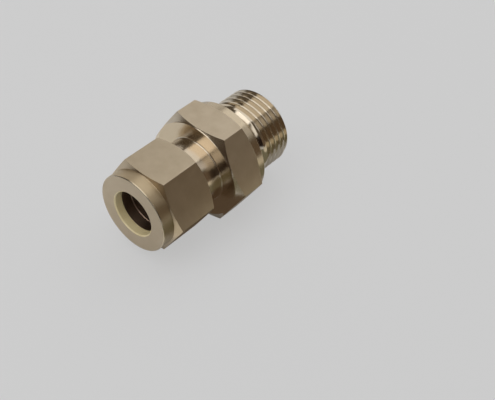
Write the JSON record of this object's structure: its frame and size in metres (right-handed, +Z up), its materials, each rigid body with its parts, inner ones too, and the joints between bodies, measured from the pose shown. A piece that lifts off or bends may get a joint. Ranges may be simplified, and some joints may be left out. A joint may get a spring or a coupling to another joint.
{
  "type": "probe mounting fitting",
  "caption": "Bored-through compression fitting that grips a round probe and screws into a parallel-thread port: hexagon body, hexagon nut and ferrules.",
  "frame": {"origin": "on the axis at the plane of the sealing face, where the flange meets the port", "axes": "+X along the axis towards the port thread, +Z up, square to a flat of the body hexagon; the fitting lies on the opposite flat"},
  "size_m": [0.0473, 0.0312, 0.027],
  "materials": {
    "body_stainless": "turned and drawn, satin",
    "nut_stainless": "turned and drawn, satin",
    "ferrule_stainless": "turned, bright"
  },
  "bodies": {
    "fitting_body": {"connector_body": "body_stainless"},
    "ferrules": {"front_ferrule": "ferrule_stainless", "back_ferrule": "ferrule_stainless"},
    "nut": {"compression_nut": "nut_stainless"}
  },
  "joints": [
    {"name": "ferrule_slide", "type": "slide", "parent": "fitting_body", "child": "ferrules", "axis": [-1, 0, 0], "range_m": [0, 0.00763]},
    {"name": "nut_turn", "type": "hinge", "parent": "ferrules", "child": "nut", "pos_m": [-0.0252, 0, 0], "axis": [-1, 0, 0], "range_deg": [0, 2160]}
  ],
  "couplings": [
    {"joint": "ferrule_slide", "follows": "nut_turn", "m_per_rad": 0.00020213}
  ]
}
